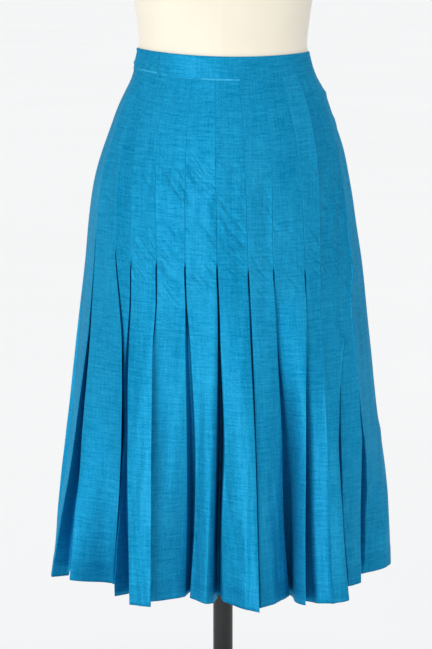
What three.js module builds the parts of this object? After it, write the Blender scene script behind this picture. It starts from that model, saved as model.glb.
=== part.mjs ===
// A knee-length pleated skirt on a limbless dress form with a round stand.
// Millimetres, +Z up. The front faces -Y, and the closure is on the -X side of the front.
// The origin is the centre of the base's underside.
//
// Angles go round the body in degrees: 0 at the middle of the front, 90 at +X, 180 at the back.

import * as THREE from 'three';

// Driving dimensions.
const HEM_HEIGHT = 290;
const HIP_HEIGHT = 750;
const MID_HEIGHT = 530;
const SEAM_GAP = 0.3;
const CLOTH_WALL = 1.2;
const BAND_WALL = 1.6;
const BAND_TOP = { front: 1036.5, sideRise: 7, tilt: 2.5 };
const BAND_BOTTOM = { front: 1002.5, sideRise: 12, tilt: 2.5 };
const BAND_EASE = 0.6;
const BAND_LAP = { start: -46, end: -22, ramp: 14, steps: 84 };
const HEM_LINE = { sideRise: 8, frontDrop: 3 };
const POLE = { radius: 14, clearance: 0.4, seatDepth: 60, sides: 32 };
const BASE = { radius: 170, edge: 5, rim: 8, hub: 24, hubRise: 12, socketFloor: 14, socketTop: 46, sides: 40 };

// The fold of each stitched pleat: how far its edge stands off the next one, and its half width.
const STITCHED_STEP = 1.8;
const STITCHED_SINK = 0.6;
const FOLD_HALF_WIDTH = 1.3;
const GROOVE_HALF_WIDTH = 1.2;
const STITCHED_CROWN = 1.5;
const CORNER_CUT = 2.4;
// Grooves run more nearly front to back than square to the waist.
const GROOVE_SLANT = 0.35;

// The skirt's mean surface: half width, and depth in front of and behind the axis.
const SKIRT_SECTIONS = [
  { z: 1025, half: 125, front: 96.5, back: 90.5 },
  { z: 1008, half: 127.5, front: 98.5, back: 92 },
  { z: 990, half: 135.5, front: 103, back: 99 },
  { z: 950, half: 153.5, front: 118, back: 118 },
  { z: 905, half: 168, front: 131, back: 134 },
  { z: 850, half: 180.5, front: 142, back: 146 },
  { z: 800, half: 188, front: 147, back: 152 },
  { z: 740, half: 197, front: 151, back: 155 },
  { z: 640, half: 208, front: 157, back: 160 },
  { z: 530, half: 219, front: 163, back: 166 },
  { z: 400, half: 233, front: 172, back: 174 },
  { z: 280, half: 243, front: 180, back: 182 },
];

// The dress form, from its neck down to its flat underside.
const FORM_SECTIONS = [
  { z: 1500, half: 50, front: 50, back: 52 },
  { z: 1494, half: 56, front: 56, back: 58 },
  { z: 1455, half: 61, front: 58, back: 62 },
  { z: 1428, half: 88, front: 66, back: 72 },
  { z: 1400, half: 134, front: 80, back: 86 },
  { z: 1360, half: 158, front: 97, back: 97 },
  { z: 1300, half: 156, front: 114, back: 103 },
  { z: 1215, half: 146, front: 119, back: 99 },
  { z: 1130, half: 128, front: 103, back: 90 },
  { z: 1085, half: 121, front: 95, back: 86 },
  { z: 1053, half: 117.8, front: 91.5, back: 84.5 },
  { z: 1040, half: 119, front: 92, back: 85.3 },
  { z: 1025, half: 121, front: 93, back: 86.6 },
  { z: 1016, half: 122.5, front: 93.8, back: 87.6 },
  { z: 1008, half: 124.2, front: 94.7, back: 88.8 },
  { z: 999, half: 127, front: 96.3, back: 91 },
  { z: 990, half: 130.5, front: 98.5, back: 94 },
  { z: 950, half: 147, front: 112, back: 111 },
  { z: 905, half: 160, front: 124, back: 126 },
  { z: 850, half: 170, front: 132, back: 136 },
  { z: 800, half: 171, front: 132, back: 136 },
  { z: 765, half: 165, front: 126, back: 130 },
  { z: 750, half: 155, front: 116, back: 120 },
];
const FORM_SIDES = 40;

// Each row is one seam between two pleats, going round from the left of the front.
//   waist, hip, mid, hem   angle of the left pleat's folded edge at those heights
//   midGap, hemGap         how far on the next pleat's crease lies, in degrees
//   release                height where the stitching ends and the fold opens
//   edgeOut, creaseOut     how far the edge and the crease stand off the mean surface at the hem
//   groove                 depth of the fold behind the lower of the two, at the hem
//   bulgeA, bulgeB         how far the pleat after the seam rounds out, at its first and second third
//   lap                    1 where the left pleat lies on top, -1 where the right one does
const SEAMS = [
  { waist: -71, hip: -67, mid: -69, hem: -79, midGap: 3.5, hemGap: 7.5, release: 790,
    edgeOut: 4, creaseOut: -16, groove: 30, bulgeA: 2, bulgeB: 0, lap: -1 },
  { waist: -61, hip: -50, mid: -48, hem: -57, midGap: 6, hemGap: 12, release: 775,
    edgeOut: -54, creaseOut: -22, groove: 22, bulgeA: 1, bulgeB: 1, lap: -1 },
  { waist: -51, hip: -40.5, mid: -40, hem: -38.5, midGap: 5.5, hemGap: 9, release: 760,
    edgeOut: -30, creaseOut: 20, groove: 25, bulgeA: 3, bulgeB: 3, lap: -1 },
  { waist: -37, hip: -28, mid: -25.5, hem: -22, midGap: 1.5, hemGap: 2, release: 757,
    edgeOut: 21, creaseOut: -24, groove: 10, bulgeA: 5, bulgeB: 5, lap: 1 },
  { waist: -19.5, hip: -15.5, mid: -15.5, hem: -16.5, midGap: 3.5, hemGap: 4, release: 757,
    edgeOut: -40, creaseOut: -46, groove: 28, bulgeA: 16, bulgeB: 32, lap: 1 },
  { waist: -4.5, hip: -2.5, mid: -3, hem: -3, midGap: 3, hemGap: 3, release: 757,
    edgeOut: -38, creaseOut: -42, groove: 32, bulgeA: 6, bulgeB: 8, lap: 1 },
  { waist: 10, hip: 10, mid: 10, hem: 10, midGap: 1.5, hemGap: 2.5, release: 750,
    edgeOut: 36, creaseOut: 14, groove: 34, bulgeA: 7, bulgeB: 8, lap: 1 },
  { waist: 25, hip: 20.5, mid: 22.5, hem: 23, midGap: 3.5, hemGap: 3.5, release: 750,
    edgeOut: -24, creaseOut: -36, groove: 22, bulgeA: 6, bulgeB: 10, lap: 1 },
  { waist: 39.5, hip: 34, mid: 30, hem: 27.5, midGap: 3, hemGap: 4.5, release: 747,
    edgeOut: 14, creaseOut: 4, groove: 40, bulgeA: 5, bulgeB: 5, lap: 1 },
  { waist: 53, hip: 41.5, mid: 38, hem: 36, midGap: 0.5, hemGap: 0.5, release: 745,
    edgeOut: 20, creaseOut: 20, groove: 2, bulgeA: 2, bulgeB: 2, lap: 1 },
  { waist: 63, hip: 54, mid: 44, hem: 42, midGap: 8, hemGap: 13, release: 700,
    edgeOut: 20, creaseOut: -32, groove: 30, bulgeA: 2, bulgeB: 2, lap: 1 },
  { waist: 74, hip: 65, mid: 69, hem: 65, midGap: 7, hemGap: 19, release: 745,
    edgeOut: -30, creaseOut: -38, groove: 26, bulgeA: 10, bulgeB: 12, lap: 1 },
  { waist: 90, hip: 88, mid: 95, hem: 101, midGap: 2.5, hemGap: 3.5, release: 740,
    edgeOut: 2, creaseOut: -20, groove: 24, bulgeA: 6, bulgeB: 4, lap: 1 },
  { waist: 107, hip: 104, mid: 110, hem: 115, midGap: 3, hemGap: 4, release: 748,
    edgeOut: 14, creaseOut: -22, groove: 26, bulgeA: 7, bulgeB: 8, lap: 1 },
  { waist: 122, hip: 120, mid: 125, hem: 131, midGap: 2.5, hemGap: 3, release: 760,
    edgeOut: 6, creaseOut: -30, groove: 24, bulgeA: 9, bulgeB: 10, lap: 1 },
  { waist: 138, hip: 136.5, mid: 141, hem: 144, midGap: 3, hemGap: 3.5, release: 755,
    edgeOut: 18, creaseOut: -12, groove: 32, bulgeA: 5, bulgeB: 7, lap: 1 },
  { waist: 153, hip: 152, mid: 155, hem: 159, midGap: 2, hemGap: 3, release: 762,
    edgeOut: 10, creaseOut: -26, groove: 24, bulgeA: 8, bulgeB: 12, lap: 1 },
  { waist: 168, hip: 168.5, mid: 171, hem: 173, midGap: 3, hemGap: 3.5, release: 752,
    edgeOut: 4, creaseOut: -18, groove: 30, bulgeA: 6, bulgeB: 6, lap: 1 },
  { waist: 184, hip: 184.5, mid: 186, hem: 188, midGap: 2.5, hemGap: 3, release: 758,
    edgeOut: 20, creaseOut: -24, groove: 26, bulgeA: 7, bulgeB: 9, lap: 1 },
  { waist: 199, hip: 200.5, mid: 201, hem: 203, midGap: 3, hemGap: 4, release: 750,
    edgeOut: 8, creaseOut: -30, groove: 26, bulgeA: 10, bulgeB: 9, lap: 1 },
  { waist: 214, hip: 216, mid: 217, hem: 218, midGap: 2.5, hemGap: 3, release: 756,
    edgeOut: 16, creaseOut: -10, groove: 34, bulgeA: 4, bulgeB: 6, lap: 1 },
  { waist: 229, hip: 232, mid: 233, hem: 232, midGap: 2.5, hemGap: 3.5, release: 764,
    edgeOut: 10, creaseOut: -24, groove: 24, bulgeA: 8, bulgeB: 8, lap: 1 },
  { waist: 244, hip: 248, mid: 248, hem: 247, midGap: 3, hemGap: 3.5, release: 755,
    edgeOut: 12, creaseOut: -18, groove: 26, bulgeA: 6, bulgeB: 7, lap: 1 },
  { waist: 261, hip: 264.5, mid: 264, hem: 262, midGap: 2.5, hemGap: 3.5, release: 770,
    edgeOut: 6, creaseOut: -8, groove: 24, bulgeA: 4, bulgeB: 5, lap: 1 },
];
// The side seams lie in the folds of these two rows.
const LEFT_SIDE_SEAM = 23;
const RIGHT_SIDE_SEAM = 12;

// How far down each ring of the skirt lies, from 0 at the waistband to 1 at the hem.
const RING_DEPTHS = [0, 0.04, 0.1, 0.18, 0.27, 0.345, 0.38, 0.43, 0.5, 0.6, 0.72, 0.86, 1];

const radians = THREE.MathUtils.degToRad;
const lerp = THREE.MathUtils.lerp;
const clamp = THREE.MathUtils.clamp;

// A smooth curve through rows that are listed from the top down.
function smoothAt(rows, z, key) {
  const last = rows.length - 1;
  if (z >= rows[0].z) return rows[0][key];
  if (z <= rows[last].z) return rows[last][key];
  const i = rows.findIndex((row, index) => z <= row.z && z > rows[index + 1].z);
  const slope = (a, b) => (rows[b][key] - rows[a][key]) / (rows[b].z - rows[a].z);
  const span = rows[i + 1].z - rows[i].z;
  const t = (z - rows[i].z) / span;
  const startSlope = slope(Math.max(i - 1, 0), i + 1) * span;
  const endSlope = slope(i, Math.min(i + 2, last)) * span;
  const t2 = t * t;
  const t3 = t2 * t;
  return (2 * t3 - 3 * t2 + 1) * rows[i][key] + (t3 - 2 * t2 + t) * startSlope
    + (3 * t2 - 2 * t3) * rows[i + 1][key] + (t3 - t2) * endSlope;
}

// The point at an angle and height on a table's oval, moved out by some millimetres.
function ovalPoint(sections, angle, z, out) {
  const half = smoothAt(sections, z, 'half') + out;
  const side = Math.cos(radians(angle)) > 0 ? 'front' : 'back';
  const depth = smoothAt(sections, z, side) + out;
  return new THREE.Vector3(half * Math.sin(radians(angle)), -depth * Math.cos(radians(angle)), z);
}

function bandEdge(edge, angle) {
  const sine = Math.sin(radians(angle));
  return edge.front + edge.sideRise * sine * sine - edge.tilt * sine;
}

function hemHeight(angle) {
  const sine = Math.sin(radians(angle));
  return HEM_HEIGHT + HEM_LINE.sideRise * sine * sine - HEM_LINE.frontDrop * Math.cos(radians(angle));
}

function ringHeight(depth, angle) {
  return lerp(bandEdge(BAND_BOTTOM, angle) - SEAM_GAP, hemHeight(angle), depth);
}

// A closed wall from rows of outer points, top row first. The wall lies to the left of each row.
function wallSolid(rings, thickness) {
  const count = rings[0].length;
  const points = [...rings.flat(), ...rings.flatMap((ring) => offsetLeft(ring, thickness))];
  const outer = (k, i) => k * count + i;
  const inner = (k, i) => (rings.length + k) * count + i;
  const triangles = [];
  const quad = (a, b, c, d) => triangles.push(a, b, c, a, c, d);
  const lastRing = rings.length - 1;
  const lastPoint = count - 1;
  for (let k = 0; k < lastRing; k += 1) {
    for (let i = 0; i < lastPoint; i += 1) {
      quad(outer(k, i), outer(k + 1, i), outer(k + 1, i + 1), outer(k, i + 1));
      quad(inner(k, i), inner(k, i + 1), inner(k + 1, i + 1), inner(k + 1, i));
    }
    quad(outer(k, 0), inner(k, 0), inner(k + 1, 0), outer(k + 1, 0));
    quad(outer(k, lastPoint), outer(k + 1, lastPoint), inner(k + 1, lastPoint), inner(k, lastPoint));
  }
  for (let i = 0; i < lastPoint; i += 1) {
    quad(outer(0, i), outer(0, i + 1), inner(0, i + 1), inner(0, i));
    quad(outer(lastRing, i), inner(lastRing, i), inner(lastRing, i + 1), outer(lastRing, i + 1));
  }
  return geometryFrom(points, triangles);
}

// Moves a row of points to its left by the wall's thickness, mitred at each corner.
function offsetLeft(ring, thickness) {
  const leftOf = (a, b) => new THREE.Vector2(a.y - b.y, b.x - a.x).normalize();
  return ring.map((point, i) => {
    const before = leftOf(ring[Math.max(i - 1, 0)], ring[Math.max(i, 1)]);
    const after = leftOf(ring[Math.min(i, ring.length - 2)], ring[Math.min(i + 1, ring.length - 1)]);
    const mitre = before.clone().add(after).normalize();
    const reach = thickness / Math.max(mitre.dot(after), 0.5);
    return new THREE.Vector3(point.x + mitre.x * reach, point.y + mitre.y * reach, point.z);
  });
}

// A closed body through rings of points, with a flat cap on its first and its last ring.
function loftSolid(rings) {
  const count = rings[0].length;
  const triangles = [];
  const at = (k, i) => k * count + (i % count);
  for (let k = 0; k < rings.length - 1; k += 1) {
    for (let i = 0; i < count; i += 1) {
      triangles.push(at(k, i), at(k + 1, i), at(k + 1, i + 1));
      triangles.push(at(k, i), at(k + 1, i + 1), at(k, i + 1));
    }
  }
  for (let i = 1; i < count - 1; i += 1) {
    triangles.push(at(0, 0), at(0, i), at(0, i + 1));
    triangles.push(at(rings.length - 1, 0), at(rings.length - 1, i + 1), at(rings.length - 1, i));
  }
  return geometryFrom(rings.flat(), triangles);
}

function geometryFrom(points, triangles) {
  const geometry = new THREE.BufferGeometry().setFromPoints(points);
  geometry.setIndex(triangles);
  geometry.computeVertexNormals();
  return geometry;
}

// Where a seam's folded edge, groove and crease lie on one ring of the skirt.
function foldAt(seam, depth) {
  const guess = ringHeight(depth, seam.hip);
  const path = [
    { z: ringHeight(0, seam.waist), angle: seam.waist },
    { z: HIP_HEIGHT, angle: seam.hip },
    { z: MID_HEIGHT, angle: seam.mid },
    { z: hemHeight(seam.hem), angle: seam.hem },
  ];
  const angle = smoothAt(path, guess, 'angle');
  const z = ringHeight(depth, angle);
  const open = clamp((seam.release - z) / (seam.release - HEM_HEIGHT), 0, 1);
  const openAtMid = (seam.release - MID_HEIGHT) / (seam.release - HEM_HEIGHT);
  const gap = open < openAtMid
    ? seam.midGap * open / openAtMid
    : lerp(seam.midGap, seam.hemGap, (open - openAtMid) / (1 - openAtMid));
  const halfTurn = THREE.MathUtils.radToDeg(FOLD_HALF_WIDTH / smoothAt(SKIRT_SECTIONS, z, 'half'));
  const edgeStep = seam.lap > 0 ? STITCHED_STEP : 0;
  const creaseStep = seam.lap < 0 ? STITCHED_STEP : 0;
  const onSkirt = (turn, out) => ovalPoint(SKIRT_SECTIONS, turn, z, out);
  const edge = onSkirt(angle - halfTurn, lerp(edgeStep, seam.edgeOut, open));
  const crease = onSkirt(angle + gap + halfTurn, lerp(creaseStep, seam.creaseOut, open));
  const middle = angle + gap / 2;
  const low = Math.min(seam.edgeOut, seam.creaseOut) * open;
  const mouth = onSkirt(middle, low);
  const reach = STITCHED_SINK + seam.groove * Math.sqrt(open);
  const inward = new THREE.Vector3(-mouth.x * GROOVE_SLANT, -mouth.y, 0).normalize();
  const bottom = mouth.clone().addScaledVector(inward, reach);
  return { edge, crease, bottom, open, z };
}

// Moves from one point towards another, by a cut or by a third of the way.
function cutToward(from, to, cut) {
  const reach = Math.min(cut, from.distanceTo(to) / 3);
  return from.clone().add(to.clone().sub(from).setLength(reach));
}

// The points between a seam's crease and the next seam's edge, rounded out.
function pleatFace(start, end, seam, open) {
  const across = end.clone().sub(start);
  const outward = new THREE.Vector3(across.y, -across.x, 0).normalize();
  const thirds = [[1 / 3, seam.bulgeA], [2 / 3, seam.bulgeB]];
  return thirds.map(([share, bulge]) => start.clone()
    .addScaledVector(across, share)
    .addScaledVector(outward, STITCHED_CROWN + bulge * open));
}

// A groove's two bottom points, with the seam gap between them where the panels are joined.
function grooveBottom(fold, isSideSeam) {
  const across = fold.crease.clone().sub(fold.edge).setZ(0);
  const widest = Math.min(GROOVE_HALF_WIDTH, across.length() / 6);
  const halfWidth = isSideSeam ? SEAM_GAP / 2 : widest;
  const step = across.setLength(halfWidth);
  return [fold.bottom.clone().sub(step), fold.bottom.clone().add(step)];
}

// One panel of the skirt, from the groove of one seam to the groove of another.
function panelRing(depth, firstSeam, pleatCount) {
  const seams = [];
  for (let i = 0; i <= pleatCount; i += 1) seams.push(SEAMS[(firstSeam + i) % SEAMS.length]);
  const folds = seams.map((seam) => foldAt(seam, depth));
  const ring = [];
  for (let i = 0; i < pleatCount; i += 1) {
    const here = folds[i];
    const next = folds[i + 1];
    const [, leaving] = grooveBottom(here, i === 0);
    const [arriving] = grooveBottom(next, i === pleatCount - 1);
    const face = pleatFace(here.crease, next.edge, seams[i], (here.open + next.open) / 2);
    ring.push(leaving, cutToward(here.crease, leaving, CORNER_CUT));
    ring.push(cutToward(here.crease, face[0], CORNER_CUT), ...face);
    ring.push(cutToward(next.edge, face[1], CORNER_CUT), cutToward(next.edge, arriving, CORNER_CUT));
    ring.push(arriving);
  }
  return ring;
}

function skirtPanel(firstSeam, lastSeam) {
  const pleatCount = (lastSeam - firstSeam + SEAMS.length) % SEAMS.length;
  const rings = RING_DEPTHS.map((depth) => panelRing(depth, firstSeam, pleatCount));
  return wallSolid(rings, CLOTH_WALL);
}

// The band goes once round the waist, and its first end lies on top of its last.
function waistband() {
  const turn = 360 + BAND_LAP.end - BAND_LAP.start;
  const raised = BAND_WALL + SEAM_GAP;
  const ringAt = (share) => {
    const ring = [];
    for (let i = 0; i <= BAND_LAP.steps; i += 1) {
      const travelled = turn * i / BAND_LAP.steps;
      const angle = BAND_LAP.start + travelled;
      const pastLap = (angle - BAND_LAP.end) / BAND_LAP.ramp;
      const lift = raised * (1 - THREE.MathUtils.smoothstep(pastLap, 0, 1));
      const z = lerp(bandEdge(BAND_TOP, angle), bandEdge(BAND_BOTTOM, angle), share);
      ring.push(ovalPoint(FORM_SECTIONS, angle, z, BAND_EASE + BAND_WALL + lift));
    }
    return ring;
  };
  return wallSolid([0, 0.5, 1].map(ringAt), BAND_WALL);
}

// The form is solid, with a seat for the pole in its flat underside.
function formTorso() {
  const underside = FORM_SECTIONS[FORM_SECTIONS.length - 1].z;
  const angles = Array.from({ length: FORM_SIDES }, (_, i) => 360 * i / FORM_SIDES);
  const oval = ({ z }) => angles.map((angle) => ovalPoint(FORM_SECTIONS, angle, z, 0));
  const seatRadius = POLE.radius + POLE.clearance;
  const seatRing = (z) => angles.map((angle) => new THREE.Vector3(
    seatRadius * Math.sin(radians(angle)), -seatRadius * Math.cos(radians(angle)), z));
  return loftSolid([...FORM_SECTIONS.map(oval), seatRing(underside), seatRing(underside + POLE.seatDepth)]);
}

function formPole() {
  const underside = FORM_SECTIONS[FORM_SECTIONS.length - 1].z;
  const bottom = BASE.socketFloor + SEAM_GAP;
  const top = underside + POLE.seatDepth - SEAM_GAP;
  const pole = new THREE.CylinderGeometry(POLE.radius, POLE.radius, top - bottom, POLE.sides);
  return pole.rotateX(Math.PI / 2).translate(0, 0, (top + bottom) / 2);
}

// A flat disc with a turned hub that holds the pole's foot.
function formBase() {
  const socket = POLE.radius + POLE.clearance;
  const profile = [
    [0, 0], [BASE.radius, 0], [BASE.radius, BASE.edge], [BASE.radius - 4, BASE.rim],
    [BASE.hub + 16, BASE.hubRise], [BASE.hub, BASE.hubRise + 8], [BASE.hub, BASE.socketTop - 2],
    [BASE.hub - 2, BASE.socketTop], [socket, BASE.socketTop], [socket, BASE.socketFloor],
    [0, BASE.socketFloor],
  ];
  const outline = profile.map(([radius, z]) => new THREE.Vector2(radius, z));
  return new THREE.LatheGeometry(outline, BASE.sides).rotateX(Math.PI / 2);
}

function finish(color, roughness, metalness) {
  return new THREE.MeshStandardMaterial({ color, roughness, metalness });
}
const silk = finish(0x2296c8, 0.55, 0);
const formCover = finish(0xf7f0df, 0.9, 0);
const greyPaint = finish(0x383838, 0.45, 0.3);

function piece(name, geometry, material) {
  const mesh = new THREE.Mesh(geometry, material);
  mesh.name = name;
  return mesh;
}

const model = new THREE.Group();
model.add(piece('skirt_front', skirtPanel(LEFT_SIDE_SEAM, RIGHT_SIDE_SEAM), silk));
model.add(piece('skirt_back', skirtPanel(RIGHT_SIDE_SEAM, LEFT_SIDE_SEAM), silk));
model.add(piece('waistband', waistband(), silk));
model.add(piece('form_torso', formTorso(), formCover));
model.add(piece('form_pole', formPole(), greyPaint));
model.add(piece('form_base', formBase(), greyPaint));

export default model;
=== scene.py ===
"""A pleated silk skirt on a limbless dress form, finished for rendering.

Sizes are in millimetres, as in the CAD source, and scaled to metres when a mesh is made.
Angles go round the body in degrees: 0 at the middle of the front, 90 at +X, 180 at the back.
"""

import math

import bmesh
import bpy
import numpy as np
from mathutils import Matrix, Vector


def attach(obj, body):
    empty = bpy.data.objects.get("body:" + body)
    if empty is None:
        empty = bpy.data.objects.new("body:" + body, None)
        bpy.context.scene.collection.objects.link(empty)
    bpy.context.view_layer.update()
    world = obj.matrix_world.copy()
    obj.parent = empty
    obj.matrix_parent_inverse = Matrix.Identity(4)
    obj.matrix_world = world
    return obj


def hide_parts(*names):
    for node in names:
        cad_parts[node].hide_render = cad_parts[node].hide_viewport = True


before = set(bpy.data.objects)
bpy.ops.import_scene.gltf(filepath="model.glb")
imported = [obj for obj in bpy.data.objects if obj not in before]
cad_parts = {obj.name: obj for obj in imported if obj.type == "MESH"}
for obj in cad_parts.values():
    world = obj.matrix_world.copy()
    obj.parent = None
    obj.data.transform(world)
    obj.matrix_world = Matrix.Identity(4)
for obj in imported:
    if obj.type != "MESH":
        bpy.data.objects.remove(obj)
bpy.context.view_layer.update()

MM = 0.001

# Driving dimensions, as in the CAD source.
HEM_HEIGHT = 290
HIP_HEIGHT = 750
MID_HEIGHT = 530
BAND_TOP = {"front": 1036.5, "side_rise": 7, "tilt": 2.5}
BAND_BOTTOM = {"front": 1002.5, "side_rise": 12, "tilt": 2.5}
BAND_LAP = {"start": -46, "end": -22, "ramp": 14}
HEM_LINE = {"side_rise": 8, "front_drop": 3}
POLE_RADIUS = 14
FORM_UNDERSIDE = 750

# The visible cloth, thinner than the CAD's walls. Its length is measured from the waist to the hem.
SILK_THICKNESS = 0.7
BAND_WALL = 1.1
BAND_EASE = 1.1
HEM_ALLOWANCE = 28
CLOTH_LENGTH = 715


def rows(columns, text):
    """A table of numbers as one dict for each line, with the columns' names as keys."""
    names = columns.split()
    return [dict(zip(names, map(float, line.split()))) for line in text.strip().splitlines()]


SKIRT_SECTIONS = rows("z half front back", """
    1025 125 96.5 90.5
    1008 127.5 98.5 92
    990 135.5 103 99
    950 153.5 118 118
    905 168 131 134
    850 180.5 142 146
    800 188 147 152
    740 197 151 155
    640 208 157 160
    530 219 163 166
    400 233 172 174
    280 243 180 182
""")

FORM_SECTIONS = rows("z half front back", """
    1500 50 50 52
    1494 56 56 58
    1455 61 58 62
    1428 88 66 72
    1400 134 80 86
    1360 158 97 97
    1300 156 114 103
    1215 146 119 99
    1130 128 103 90
    1085 121 95 86
    1053 117.8 91.5 84.5
    1040 119 92 85.3
    1025 121 93 86.6
    1016 122.5 93.8 87.6
    1008 124.2 94.7 88.8
    999 127 96.3 91
    990 130.5 98.5 94
    950 147 112 111
    905 160 124 126
    850 170 132 136
    800 171 132 136
    765 165 126 130
    750 155 116 120
""")

# One row for each seam between two pleats, with the CAD source's columns.
SEAMS = rows("waist hip mid hem mid_gap hem_gap release edge_out crease_out groove bulge_a bulge_b lap", """
    -71 -67 -69 -79 3.5 7.5 790 4 -16 30 2 0 -1
    -61 -50 -48 -57 6 12 775 -54 -22 22 1 1 -1
    -51 -40.5 -40 -38.5 5.5 9 760 -30 20 25 0.6 0.6 -1
    -37 -28 -25.5 -22 1.5 2 757 21 -24 10 3 3 1
    -19.5 -15.5 -15.5 -16.5 3.5 4 757 -40 -46 28 5 10 1
    -4.5 -2.5 -3 -3 3 3 757 -38 -42 32 4 6 1
    10 10 10 10 1.5 2.5 750 36 14 34 5 4 1
    25 20.5 22.5 23 3.5 3.5 750 -24 -36 22 3 6 1
    39.5 34 30 27.5 3 4.5 747 14 4 40 4 1 1
    53 41.5 38 36 0.5 0.5 745 20 20 2 1 3 1
    63 54 44 42 8 13 652 20 -32 30 2 2 1
    74 65 69 65 7 19 745 -30 -38 26 6 7 1
    90 88 95 101 2.5 3.5 740 2 -20 24 6 4 1
    107 104 110 115 3 4 748 14 -22 26 7 8 1
    122 120 125 131 2.5 3 760 6 -30 24 9 10 1
    138 136.5 141 144 3 3.5 755 18 -12 32 5 7 1
    153 152 155 159 2 3 762 10 -26 24 8 12 1
    168 168.5 171 173 3 3.5 752 4 -18 30 6 6 1
    184 184.5 186 188 2.5 3 758 20 -24 26 7 9 1
    199 200.5 201 203 3 4 750 8 -30 26 10 9 1
    214 216 217 218 2.5 3 756 16 -10 34 4 6 1
    229 232 233 232 2.5 3.5 764 10 -24 24 8 8 1
    244 248 248 247 3 3.5 755 12 -18 26 6 7 1
    261 264.5 264 262 2.5 3.5 770 6 -8 24 4 5 1
""")
LEFT_SIDE_SEAM = 23
RIGHT_SIDE_SEAM = 12

# How the front's pleats open below their stitching. "edge" is the angle of the left pleat's
# folded edge, "crease" where the right pleat begins, each with its distance off the oval.
OPEN_FOLDS = rows("seam z edge edge_out crease crease_out groove", """
    0 700 -66.1 0 -65 0 12
    0 640 -67.2 -2 -64.5 -1 20
    0 515 -72.8 -4 -66.8 -6 32
    0 440 -75 -2 -65.9 -8 38
    0 380 -79.4 0 -65.5 -5 34
    0 290 -81.7 4 -61.7 2 20
    1 700 -45.7 0 -45.3 -2 12
    1 640 -43.4 -4 -44.2 -10 16
    1 515 -46.6 -26 -56 -50 12
    1 390 -52.4 -46 -51.5 -46 10
    1 290 -58.4 -60 -40.9 -12 10
    2 700 -40.3 -2 -39.1 0 12
    2 640 -42.4 -10 -38.4 2 18
    2 515 -53.3 -50 -34.6 12 14
    2 390 -56.5 -70 -31.4 18 12
    2 290 -44.5 -62 -29.5 20 8
    3 700 -27.4 0 -27.2 -2 6
    3 640 -27.1 4 -28 -3 4
    3 515 -25 11 -28.6 -3 4
    3 390 -23.1 17 -27.6 0 4
    3 290 -22 21 -26.8 2 4
    4 700 -15 -1 -14.4 -2 14
    4 640 -14.9 -6 -13 -8 9
    4 515 -14.3 -17 -10.7 -12 22
    4 390 -14.4 -33 -10.8 -20 34
    4 290 -15 -40 -12.5 -28 30
    5 700 -2.3 0 -1.5 0 24
    5 640 -2.1 -4 -1 -2 38
    5 515 -2.45 -10 0.4 -1 56
    5 390 -3.2 -18 -0.5 -3 54
    5 290 -3.7 -24 -0.3 -8 34
    6 700 10 0 10.8 0 5
    6 640 10.2 4 11.2 0 10
    6 515 10.75 12 11.6 2 5
    6 390 10.65 20 11.5 8 2
    6 290 10.6 26 11.6 10 3
    7 700 20.6 0 21 -8 6
    7 640 21.1 -2 22.3 -11 6
    7 515 22.7 -12 27.2 -26 10
    7 390 23.3 -22 30.5 -50 14
    7 290 25.5 -30 29.6 -52 12
    8 700 33.1 4 33.6 1 14
    8 640 31.9 7 33.2 -3 14
    8 515 29.7 8 33.7 -11 20
    8 390 27.3 10 32.9 -13 28
    8 290 26 14 32.6 -9 14
    9 700 40.5 0 40.6 0 0
    9 640 40 2 40.1 2 0
    9 515 38.6 6 38.7 6 0
    9 390 36.8 10 36.9 10 0
    9 290 36 14 36.1 14 0
    10 640 51.9 0 52.3 0 3
    10 610 50 1 51 0 10
    10 515 44.5 6 49 -4 16
    10 390 42.2 12 48.7 -12 14
    10 290 42.5 16 53.6 -24 12
    11 700 60.7 0 60.9 0 1
    11 640 60.2 0 61 0 3
    11 580 60.4 0 61.2 0 2
    11 515 62 -3 63.4 -3 4
    11 450 61.4 -10 70 -16 16
    11 390 60.7 -16 78 -31 26
    11 290 61.1 -22 84 -42 22
""")

# How far each pleat's hem hangs above the even hem line, at its left and right fold.
# A pleat has the number of the seam on its left.
HEM_RISES = rows("pleat left right", """
    23 0 -2
    0 10 -1
    1 -1 -7
    2 -1 0
    3 0 4
    4 5 -1
    5 7 -4
    6 -1 4
    7 -2 -1
    8 -5 -4
    9 -4 -3
    10 3 4
    11 0 5
    13 -3 2
    15 3 -2
    16 -1 4
    18 4 -2
    19 -2 3
    21 3 0
    22 -3 3
""")
# The hem hangs unevenly from this share of the skirt's depth down.
HEM_RISE_START = 0.55

# Where the worn skirt stands out from an even oval: a soft bump at an angle and a height.
BODY_BUMPS = rows("angle z out wide tall", """
    -92 865 5 38 55
    -90 800 3 34 40
    -84 975 2.5 25 28
    90 985 4 30 28
    68 1000 2 20 16
    82 905 1.5 30 30
    88 984 2 14 5
    88 944 1.8 12 6
    86 500 1.8 16 12
    93 400 5.5 36 120
    42 790 5 13 130
    -88 1009 1.3 22 9
""")

# Where a fold opens below its stitching: how far down, how wide in degrees, and how deep. A fold
# with a groove of less than "least" opens slowly and has no such gap.
FIRST_GAP = {"drop": 9, "angle": 0.42, "groove": 9, "least": 1}

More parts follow.
